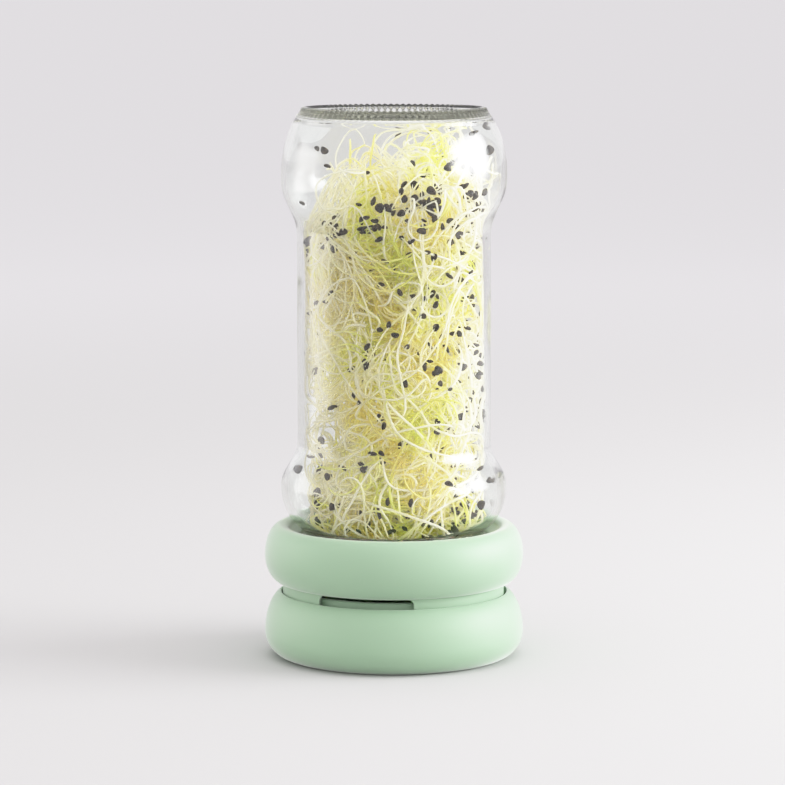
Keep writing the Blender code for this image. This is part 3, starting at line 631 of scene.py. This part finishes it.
def shape_glass(mesh, is_inside):
    """Knurls bearing ring and heel, and gives both faces of the wall the slow waves of blown glass."""
    count = len(mesh.vertices)
    places = np.empty(count * 3)
    mesh.vertices.foreach_get("co", places)
    places = places.reshape(-1, 3)
    x, y, z = places.T
    radius = np.hypot(x, y)
    angle = np.arctan2(y, x)
    inside = is_inside(radius, z)
    amplitude = np.where(inside, INSIDE_WAVE, OUTSIDE_WAVE)
    amplitude = amplitude * np.clip((z - NECK_Z) / WAVE_FADE, 0, 1)
    amplitude = amplitude * np.clip((jar_high.z - WAVE_END - z) / WAVE_FADE, 0, 1)
    wave = sum(size * np.sin(turns * angle + rise * z + start) for size, turns, rise, start in WAVES)
    grow = 1 + amplitude * wave / np.maximum(radius, 0.001)
    off_ring = np.abs(radius - BEARING_RADIUS) / (KNURL_SPREAD * BEARING_WIDTH)
    on_ring = np.clip(KNURL_FADE - KNURL_FADE * off_ring, 0, 1) * (z > jar_high.z - KNURL_REACH)
    knurl = 0.5 - 0.5 * np.cos(KNURL_COUNT * angle)
    on_heel = (radius > BEARING_RADIUS) * np.clip((z - jar_high.z + HEEL_DROP) / HEEL_FADE, 0, 1)
    grow -= HEEL_KNURL_DEPTH * knurl * on_heel / np.maximum(radius, 0.001)
    places[:, 0] = x * grow
    places[:, 1] = y * grow
    places[:, 2] = z - KNURL_DEPTH * knurl * on_ring
    mesh.vertices.foreach_set("co", places.ravel())
    mesh.update()


inside_line = sorted((z, r) for r, z in jar_inside())
inside_line = np.array([point for point in inside_line if point[0] < INSIDE_BASE_Z - FLAT_MARGIN])
inside_heights, inside_radii = inside_line.T.copy()


def is_inside(radius, height):
    """Whether points of the jar's surface belong to its inner face."""
    wall_middle = np.interp(height, inside_heights, inside_radii) + JAR_WALL / 2
    return (radius < wall_middle) & (height < INSIDE_BASE_Z + BASE_MARGIN)


def clear_glass():
    """Clear soda-lime glass: sharp reflections, and a trace of green-grey where it is thick."""
    material, tree = new_material("clear soda-lime glass")
    glass = add_node(tree, "ShaderNodeBsdfPrincipled", {
        "Base Color": linear("#FAFCFB"), "Roughness": 0.0, "IOR": 1.5, "Transmission Weight": 1.0})
    clear = add_node(tree, "ShaderNodeBsdfTransparent", {"Color": linear("#FFFFFF")})
    path = add_node(tree, "ShaderNodeLightPath", {})
    mixed = add_node(tree, "ShaderNodeMixShader", {
        0: path.outputs["Is Shadow Ray"], 1: glass.outputs["BSDF"], 2: clear.outputs["BSDF"]})
    depth = add_node(tree, "ShaderNodeVolumeAbsorption", {"Color": linear("#B7BA9C"), "Density": 23.0})
    add_node(tree, "ShaderNodeOutputMaterial", {
        "Surface": mixed.outputs["Shader"], "Volume": depth.outputs["Volume"]})
    return material


jar = turn("jar", jar_outside() + jar_inside(), JAR_STEPS)
threads = [rib(f"thread_{i}", FINISH_RADIUS, THREAD_LOW_Z, THREAD_HIGH_Z, 360 / THREAD_COUNT * i,
               THREAD_SWEEP, THREAD_RADIUS) for i in range(THREAD_COUNT)]
combine(jar, 'UNION', join(threads))
shape_glass(jar.data, is_inside)
finish_piece(jar, clear_glass(), ["glass_jar"], sharp=50)


# ---- Sprouts ----
# Several thousand allium sprouts, each a damp thread some 5 cm long: a white root, a cream to yellow-green
# stem, and often the black seed hull on its tip. They grew in a tangle that keeps the shape of the jar.
CROP_HEIGHTS = np.array([0.031, 0.045, 0.055, 0.068, 0.085, 0.110, 0.150, 0.170, 0.182, 0.190, 0.199])
CROP_RADII = np.array([0.0312, 0.0335, 0.0325, 0.0322, 0.0337, 0.0337, 0.0337, 0.0350, 0.0345, 0.0315, 0.026])
CROP_FLOOR = 0.0320
CROP_TOP = 0.1925
CROP_DOME = 0.2042              # the crop's top is a dome cut off at CROP_TOP,
CROP_SUMMIT_X = 0.011           # highest a little to the right of the jar's axis
CROP_FALL = 23.0                # how fast the dome falls away from there, per metre
GLASS_CLEARANCE = 0.0006
# Each layer has so many tufts of so many sprouts. A sprout has points a step apart, and is a tube of so many
# sides. "reach" is the inner and outer share of the crop's radius, and "tint" goes from cream to green.
LAYERS = [
    {"name": "sprouts_outer_1", "tufts": 300, "tuft": 1, "points": 34, "step": 0.0020, "sides": 6,
     "radius": 0.00044, "reach": (0.82, 1.00), "tint": (0.00, 0.12), "seed": 11},
    {"name": "sprouts_outer_2", "tufts": 130, "tuft": 4, "points": 30, "step": 0.0019, "sides": 4,
     "radius": 0.00036, "reach": (0.66, 0.96), "tint": (0.00, 0.75), "seed": 12},
    # The inner layers are tinted deeper than the outer ones: painted shade deep in the tangle, over the
    # stems' own cream-to-green colour.
    {"name": "sprouts_inner_1", "tufts": 150, "tuft": 5, "points": 20, "step": 0.0026, "sides": 4,
     "radius": 0.00038, "reach": (0.40, 0.84), "tint": (0.55, 1.10), "seed": 13},
    {"name": "sprouts_inner_2", "tufts": 80, "tuft": 5, "points": 20, "step": 0.0026, "sides": 4,
     "radius": 0.00038, "reach": (0.00, 0.60), "tint": (0.80, 1.20), "seed": 14}]
TUFT_SPREAD = 0.0013            # how far the sprouts of a tuft lie from one another
TUFT_FRAY = 0.16                # how far their first headings differ
BEND = 72.0                     # how sharply a stem bends, as one over the radius in metres,
BEND_KEPT = 0.95                # how much of that bend it keeps at each step,
BEND_NEW = 0.290                # and how much is new
UPRIGHT = ([0.032, 0.060, 0.090, 0.160, 0.180],     # at these heights
           [0.15, 0.5, 1.0, 1.1, 2.2])              # the stems stand this upright
BULGING_TUFTS = 0.06            # share of the tufts that push out to the glass,
BULGE_REACH = (1.03, 1.20)      # and how far past the rest they may go
TUFT_LIFT = (-0.022, -0.002, 0.005)     # where a tuft ends against the crop's top: least, most often, most
STRAY_HIGH = (0.07, 0.018)      # this share of the tufts stands so much higher,
STRAY_LOW = (0.22, 0.008)       # and this share, those included, at least so much
STEM_LIFT = 0.0045              # and each stem differs by about this
SIDE_SOFTNESS = 0.004           # a stem starts to turn back this far from the crop's side or floor,
TOP_SOFTNESS = 0.006            # and this far from its top
TURN_BACK = 0.5                 # how hard it turns back each step,
SIDE_NUDGE = 0.12               # even where it isn't heading out
FLOOR_NUDGE = 0.1
TOP_NUDGE = 0.3
SINK = 0.22                     # share of what stands above the top that sinks back each step


def unit(vectors):
    return vectors / np.maximum(np.linalg.norm(vectors, axis=-1, keepdims=True), 1e-9)


def round_axis(distance, angle, z):
    """Places from their distance to the axis, their angle round it and their height."""
    return np.stack([distance * np.cos(angle), distance * np.sin(angle), z], axis=1)


def crop_top(places, lift=0.0):
    """Height of the crop's top above each place."""
    x, y = places[:, 0], places[:, 1]
    return lift + np.minimum(CROP_TOP, CROP_DOME - CROP_FALL * ((x - CROP_SUMMIT_X) ** 2 + y ** 2))


def radial(places):
    """How far places lie from the axis, and the level unit vector out through each."""
    away = places * [1, 1, 0]
    distance = np.linalg.norm(away, axis=1)
    return distance, away / np.maximum(distance, 1e-6)[:, None]


def keep_off_glass(places, clearance):
    """Moves what is too near the glass back towards the axis."""
    distance, outward = radial(places)
    wall = np.interp(places[:, 2], inside_heights, inside_radii) - clearance
    return places - outward * np.maximum(distance - wall, 0)[:, None]


def grow_strands(layer):
    """Routes of a layer's sprouts: threads that bend slowly this way and that, and stay in the crop."""
    rng = np.random.default_rng(layer["seed"])
    tufts, tuft, points, step = layer["tufts"], layer["tuft"], layer["points"], layer["step"]
    count = tufts * tuft
    low, high = layer["reach"]
    z = rng.uniform(CROP_FLOOR, CROP_TOP, tufts)
    angle = rng.uniform(0, 2 * math.pi, tufts)
    share = np.sqrt(rng.uniform(low ** 2, high ** 2, tufts))
    distance = share * np.interp(z, CROP_HEIGHTS, CROP_RADII)
    place = round_axis(distance, angle, z)
    place[:, 2] = np.minimum(place[:, 2], crop_top(place))
    upright = np.interp(z, *UPRIGHT)
    distance, outward = radial(place)
    around = np.cross([0, 0, 1], outward)
    heading = (around * rng.normal(0, 1.0, (tufts, 1)) + outward * rng.normal(0, 0.35, (tufts, 1))
               + np.array([0, 0, 1.0]) * (upright * rng.normal(0, 1.1, tufts))[:, None])
    spread = rng.normal(0, 1, (2, count, 3)) * (tuft > 1)
    place = np.repeat(place, tuft, axis=0) + TUFT_SPREAD * spread[0]
    heading = unit(np.repeat(unit(heading), tuft, axis=0) + TUFT_FRAY * spread[1])
    bulging = rng.random(tufts) < BULGING_TUFTS
    high = high * np.repeat(np.where(bulging, rng.uniform(*BULGE_REACH, tufts), 1.0), tuft)
    curl = BEND * np.repeat(rng.lognormal(0, 0.40, (tufts, 1)), tuft, axis=0)
    bend = curl * np.repeat(rng.normal(0, 1, (tufts, 3)), tuft, axis=0)
    lift = rng.triangular(*TUFT_LIFT, tufts)
    stray = rng.random(tufts)
    lift += np.where(stray < STRAY_HIGH[0], STRAY_HIGH[1], np.where(stray < STRAY_LOW[0], STRAY_LOW[1], 0.0))
    lift = np.repeat(lift, tuft) + rng.normal(0, STEM_LIFT, count)
    route = np.empty((count, points, 3))
    for i in range(points):
        route[:, i] = place
        turn_more = np.repeat(rng.normal(0, 1, (tufts, 3)), tuft, axis=0) + rng.normal(0, 0.5, (count, 3))
        bend = BEND_KEPT * bend + BEND_NEW * curl * turn_more
        distance, outward = radial(place)
        limit = high * np.interp(place[:, 2], CROP_HEIGHTS, CROP_RADII)
        crowd = np.clip((distance - limit + SIDE_SOFTNESS) / SIDE_SOFTNESS, 0, 1.5)[:, None]
        outgoing = (heading * outward).sum(1, keepdims=True)
        steer = -crowd * outward * (np.maximum(outgoing, 0) + SIDE_NUDGE)
        above = place[:, 2] - crop_top(place, lift)
        ceiling = np.clip((above + TOP_SOFTNESS) / TOP_SOFTNESS, 0, 1.5)
        ground = np.clip((CROP_FLOOR + SIDE_SOFTNESS - place[:, 2]) / SIDE_SOFTNESS, 0, 1.5)
        steer[:, 2] += ground * (np.maximum(-heading[:, 2], 0) + FLOOR_NUDGE)
        steer[:, 2] -= ceiling * (np.maximum(heading[:, 2], 0) + TOP_NUDGE)
        heading = unit(heading + np.cross(bend, heading) * step + TURN_BACK * steer)
        place = place + heading * step
        above = place[:, 2] - crop_top(place, lift)
        place[:, 2] -= SINK * np.maximum(above, 0)
        place = keep_off_glass(place, GLASS_CLEARANCE)
        place[:, 2] = np.clip(place[:, 2], CROP_FLOOR, INSIDE_BASE_Z - GLASS_CLEARANCE)
    return route, rng


def sweep_tubes(route, radii, sides):
    """Closed round tubes along routes. Returns their corners, faces, and each corner's share of the way."""
    count, points, _ = route.shape
    along = unit(np.gradient(route, axis=1))
    side = unit(np.cross(along[:, 0], [0.31, 0.57, 0.76]))
    corners = np.empty((count, points, sides, 3))
    turn_angles = 2 * math.pi * np.arange(sides) / sides
    for i in range(points):
        side = unit(side - along[:, i] * (side * along[:, i]).sum(1, keepdims=True))
        other = np.cross(along[:, i], side)
        spokes = side[:, None] * np.cos(turn_angles)[:, None] + other[:, None] * np.sin(turn_angles)[:, None]
        corners[:, i] = route[:, i, None] + spokes * radii[:, i, None, None]
    ends = route[:, [0, -1]] + along[:, [0, -1]] * radii[:, [0, -1], None] * [[[-1.0], [1.0]]]
    block = np.concatenate([corners.reshape(count, -1, 3), ends], axis=1)
    size = points * sides + 2
    faces = []
    for i in range(points - 1):
        for j in range(sides):
            a, b = i * sides + j, i * sides + (j + 1) % sides
            faces.append((a, b, b + sides, a + sides))
    caps = []
    last = (points - 1) * sides
    for j in range(sides):
        caps.append(((j + 1) % sides, j, size - 2))
        caps.append((last + j, last + (j + 1) % sides, size - 1))
    starts = (np.arange(count) * size)[:, None, None]
    quads = (np.array(faces)[None] + starts).reshape(-1, 4)
    tips = (np.array(caps)[None] + starts).reshape(-1, 3)
    shares = np.concatenate([np.repeat(np.linspace(0, 1, points), sides), [0, 1]])
    return block.reshape(-1, 3), quads.tolist() + tips.tolist(), np.tile(shares, count)


def mesh_piece(name, corners, faces, values):
    """A mesh object with one named number on each corner for every entry in values."""
    mesh = bpy.data.meshes.new(name)
    mesh.from_pydata(corners.tolist(), [], faces)
    for value_name, numbers in values.items():
        attribute = mesh.attributes.new(value_name, 'FLOAT', 'POINT')
        attribute.data.foreach_set("value", numbers.astype(np.float32))
    piece = bpy.data.objects.new(name, mesh)
    bpy.context.scene.collection.objects.link(piece)
    return piece


STEM_HUES = (                   # from root to tip, for a warm cream stem and for a green one
    ("#FFFDF2", "#FFFBE4", "#FDF8BC", "#F7EEA2"), ("#FFFDF2", "#FEFDDE", "#FBFDAE", "#EFF28F"))
STEM_GLOW = 0.55                # share of the light that goes through a stem
STEM_MOTTLE = 1 / 900           # size of the faint mottling, 1.1 mm


def damp_stem():
    """A damp young stem: translucent and softly glossy. "tint" takes it from cream at the root to its full
    colour, and also carries painted light and shade through the crop; "leaf" takes it from a warm stem to a
    green one."""
    material, tree = new_material("damp sprout stem")
    place = add_node(tree, "ShaderNodeTexCoord", {}).outputs["Object"]
    tint = add_node(tree, "ShaderNodeAttribute", {}, attribute_name="tint")
    leaf = add_node(tree, "ShaderNodeAttribute", {}, attribute_name="leaf")
    hues = []
    for colours in STEM_HUES:
        ramp = add_node(tree, "ShaderNodeValToRGB", {"Fac": tint.outputs["Fac"]})
        ramp.color_ramp.elements[0].color = linear(colours[0])
        ramp.color_ramp.elements[1].color = linear(colours[3])
        ramp.color_ramp.elements.new(0.45).color = linear(colours[1])
        ramp.color_ramp.elements.new(0.80).color = linear(colours[2])
        hues.append(ramp.outputs["Color"])
    hue = add_node(tree, "ShaderNodeMix", {
        "Factor": leaf.outputs["Fac"], 6: hues[0], 7: hues[1]}, data_type='RGBA')
    mottle = add_node(tree, "ShaderNodeTexNoise", {"Vector": place, "Scale": 1 / STEM_MOTTLE, "Detail": 2.0})
    shade = add_node(tree, "ShaderNodeMapRange", {
        "Value": mottle.outputs["Fac"], "From Min": 0.3, "From Max": 0.7, "To Min": 0.993, "To Max": 1.0})
    colour = add_node(tree, "ShaderNodeMix", {
        "Factor": 1.0, 6: hue.outputs[2], 7: shade.outputs["Result"]},
        data_type='RGBA', blend_type='MULTIPLY')
    skin = add_node(tree, "ShaderNodeBsdfPrincipled", {
        "Base Color": colour.outputs[2], "Roughness": 0.38, "IOR": 1.4})
    glow = add_node(tree, "ShaderNodeBsdfTranslucent", {"Color": colour.outputs[2]})
    mixed = add_node(tree, "ShaderNodeMixShader", {
        0: STEM_GLOW, 1: skin.outputs["BSDF"], 2: glow.outputs["BSDF"]})
    add_node(tree, "ShaderNodeOutputMaterial", {"Surface": mixed.outputs["Shader"]})
    return material


TAPER = ([0, 0.06, 0.25, 0.9, 1.0], [0.35, 0.6, 1.0, 1.0, 0.7])     # thin root, full stem, slimmer tip
THICKNESS_SPREAD = (0.75, 1.15)
TIPPED_SHARE = 0.30             # of the outer sprouts, those that still carry their hull
TIP_TINT = 0.40                 # how much deeper in colour a stem is at its tip than at its root,
PATCH_TINT = 0.35               # and how much the colour comes and goes in patches through the crop
# Parts of the crop that are paler or deeper: the top is paler; the bottom by the neck is deeper, painted
# shade from the collar; and the left and right sides are paler, painted light and glass reflection on them.
# Each gives the tint's change, the axis it follows, where it starts, and the distance over which it comes in,
# which is negative where it comes in downwards or to the left.
TINT_CHANGES = [(-0.42, 2, 0.160, 0.020), (0.35, 2, 0.064, -0.014),
                (-0.60, 0, -0.010, -0.010), (-0.30, 0, 0.016, 0.010)]
LEAF_PATCH = 0.55               # how strongly warm and green stems gather in patches

stem_skin = damp_stem()
single_sprouts = [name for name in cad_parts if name.startswith("sprout_") and name != "sprout_tangle"]
hull_places = []
for layer in LAYERS:
    route, rng = grow_strands(layer)
    count, points, _ = route.shape
    taper = np.interp(np.linspace(0, 1, points), *TAPER)
    radii = layer["radius"] * rng.uniform(*THICKNESS_SPREAD, (count, 1)) * taper
    corners, faces, along = sweep_tubes(route, radii, layer["sides"])
    base_tint = np.repeat(rng.uniform(*layer["tint"], layer["tufts"]), layer["tuft"])
    base_tint += rng.normal(0, 0.10, count)
    x, z = corners[:, 0], corners[:, 2]
    patch = np.sin(210 * x + 2.0 * np.sin(90 * z)) * np.sin(170 * z + 1.0)
    tint = np.repeat(base_tint, len(along) // count) + TIP_TINT * (along - 0.5) + PATCH_TINT * patch
    # Painted light and shade: paler sides and a deeper bottom by the neck, and a paler top.
    for change, axis, start, width in TINT_CHANGES:
        tint += change * np.clip((corners[:, axis] - start) / width, 0, 1)
    leaf = np.repeat(np.repeat(rng.uniform(0, 1, layer["tufts"]), layer["tuft"]), len(along) // count)
    leaf += LEAF_PATCH * np.sin(130 * z + 60 * x + 1.2 * np.sin(150 * x) + 0.5)
    sprouts = mesh_piece(layer["name"], corners, faces,
                         {"tint": np.clip(tint, 0, 1), "leaf": np.clip(leaf, 0, 1)})
    inner = "inner" in layer["name"]
    finish_piece(sprouts, stem_skin,
                 ["sprout_tangle"] if inner else single_sprouts, sharp=65)
    if not inner:
        tipped = rng.random(count) < TIPPED_SHARE
        hull_places.append(route[tipped, -1])


# ---- Seed hulls ----
# The black coats of the seeds, dry, angular and wrinkled, some 3 mm long. Many still sit on a sprout's tip,
# others lie loose in the crop, and some cling to the wet glass.
HULL_LENGTH = 0.0034
HULL_WIDTH = 0.0027
HULL_THICKNESS = 0.0018
HULL_SIZES = (0.75, 1.2)
LOOSE_HULLS = 345               # loose in the crop,
LOOSE_REACH = (0.80, 0.99)      # at this share of its radius,
LOOSE_HEIGHTS = (CROP_FLOOR + 0.002, CROP_TOP - 0.004)
LOOSE_DEPTH = (0.001, 0.012)    # and at least this far below its top
FALLEN_HULLS = 90               # of the loose ones, those that have sunk to the neck,
FALLEN_HEIGHTS = (CROP_FLOOR + 0.010, CROP_FLOOR + 0.028)
RAISED_HULLS = 85               # and those that the crop has carried up into the top bulge
RAISED_HEIGHTS = (CROP_TOP - 0.032, CROP_TOP - 0.004)
HIGH_GLASS_Z = 0.168
GLASS_HULLS = 56                # stuck to the inside of the glass,
GLASS_HEIGHTS = (CROP_FLOOR + 0.015, HIGH_GLASS_Z)
HIGH_GLASS_HULLS = 13           # of which these are in the top bulge
HIGH_GLASS_HEIGHTS = (HIGH_GLASS_Z, INSIDE_BASE_Z - 0.003)
CLUSTER_HULLS = 16              # and one cluster, wider than it is deep
CLUSTER_PLACE = (0.0085, -0.0275, 0.1725)
CLUSTER_SPREAD = 0.0028
CLUSTER_SHAPE = [1.6, 0.5, 1.0]
RARE_X = -0.014                 # left of here
RARE_Z = 0.150                  # and below here
RARE_SHARE = 0.55               # this share of the hulls lies on the other side instead
HULL_CLEARANCE = 0.0012         # from a hull's middle to the glass


WEAR_SIZE = 1 / 700             # worn patches, 1.4 mm,
WRINKLE_SIZE = 1 / 2200         # and wrinkles, 0.45 mm


def hull_shape():
    """One hull, modelled from a ball: a rounded back, a flat belly, a blunt end and a pointed one."""
    bpy.ops.object.select_all(action='DESELECT')
    bpy.ops.mesh.primitive_uv_sphere_add(segments=8, ring_count=6, radius=1)
    ball = bpy.context.object
    for vertex in ball.data.vertices:
        x, y, z = vertex.co
        vertex.co.y = y * (1 - 0.30 * z) + 0.25 * z * z
        vertex.co.x = x * (0.55 if x < 0 else 1.0) * (1 - 0.15 * z)
    half_size = [HULL_THICKNESS / 2, HULL_WIDTH / 2, HULL_LENGTH / 2]
    corners = np.array([vertex.co for vertex in ball.data.vertices]) * half_size
    faces = [tuple(face.vertices) for face in ball.data.polygons]
    bpy.data.objects.remove(ball)
    return corners, faces


def random_turns(rng, count):
    """Rotation matrices in every direction alike."""
    a, b, c, d = unit(rng.normal(0, 1, (count, 4))).T
    return np.stack([
        np.stack([1 - 2 * (c * c + d * d), 2 * (b * c - a * d), 2 * (b * d + a * c)], 1),
        np.stack([2 * (b * c + a * d), 1 - 2 * (b * b + d * d), 2 * (c * d - a * b)], 1),
        np.stack([2 * (b * d - a * c), 2 * (c * d + a * b), 1 - 2 * (b * b + c * c)], 1)], 1)


def seed_coat():
    """A dry black seed coat: wrinkled, dull, with brown where it has worn thin."""
    material, tree = new_material("black wrinkled seed coat")
    place = add_node(tree, "ShaderNodeTexCoord", {}).outputs["Object"]
    wear = add_node(tree, "ShaderNodeTexNoise", {"Vector": place, "Scale": 1 / WEAR_SIZE, "Detail": 3.0})
    tone = add_node(tree, "ShaderNodeValToRGB", {"Fac": wear.outputs["Fac"]})
    tone.color_ramp.elements[0].position = 0.42
    tone.color_ramp.elements[0].color = linear("#19130D")
    tone.color_ramp.elements[1].position = 0.75
    tone.color_ramp.elements[1].color = linear("#463824")
    wrinkle = add_node(tree, "ShaderNodeTexVoronoi", {"Vector": place, "Scale": 1 / WRINKLE_SIZE})
    relief = add_node(tree, "ShaderNodeBump", {
        "Height": wrinkle.outputs["Distance"], "Strength": 0.5, "Distance": 0.00012})
    coat = add_node(tree, "ShaderNodeBsdfPrincipled", {
        "Base Color": tone.outputs["Color"], "Roughness": 0.6, "Specular IOR Level": 0.25,
        "Normal": relief.outputs["Normal"]})
    add_node(tree, "ShaderNodeOutputMaterial", {"Surface": coat.outputs["BSDF"]})
    return material


rng = np.random.default_rng(21)
z = rng.uniform(*LOOSE_HEIGHTS, LOOSE_HULLS)
z[:FALLEN_HULLS] = rng.uniform(*FALLEN_HEIGHTS, FALLEN_HULLS)
z[-RAISED_HULLS:] = rng.uniform(*RAISED_HEIGHTS, RAISED_HULLS)
angle = rng.uniform(0, 2 * math.pi, LOOSE_HULLS)
distance = rng.uniform(*LOOSE_REACH, LOOSE_HULLS) * np.interp(z, CROP_HEIGHTS, CROP_RADII)
loose = round_axis(distance, angle, z)
loose[:, 2] = np.minimum(z, crop_top(loose) - rng.uniform(*LOOSE_DEPTH, LOOSE_HULLS))
hull_places.append(loose)

z = rng.uniform(*GLASS_HEIGHTS, GLASS_HULLS)
z[:HIGH_GLASS_HULLS] = rng.uniform(*HIGH_GLASS_HEIGHTS, HIGH_GLASS_HULLS)
angle = rng.uniform(0, 2 * math.pi, GLASS_HULLS)
distance = np.interp(z, inside_heights, inside_radii)
hull_places.append(round_axis(distance, angle, z))
hull_places.append(rng.normal(0, CLUSTER_SPREAD, (CLUSTER_HULLS, 3)) * CLUSTER_SHAPE + CLUSTER_PLACE)

places = np.concatenate(hull_places)
rare = (places[:, 0] < RARE_X) & (places[:, 2] < RARE_Z) & (rng.random(len(places)) < RARE_SHARE)
places[:, 0] = np.where(rare, -places[:, 0], places[:, 0])
places = keep_off_glass(places, HULL_CLEARANCE)
shape, shape_faces = hull_shape()
turns = random_turns(rng, len(places))
sizes = rng.uniform(*HULL_SIZES, (len(places), 1, 1))
corners = np.einsum("nij,kj->nki", turns, shape) * sizes + places[:, None]
faces = [tuple(i + len(shape) * n for i in face) for n in range(len(places)) for face in shape_faces]
hulls = mesh_piece("seed_hulls", corners.reshape(-1, 3), faces, {})
single_hulls = [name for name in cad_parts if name.startswith("seed_hull_")]
finish_piece(hulls, seed_coat(), single_hulls, sharp=180)
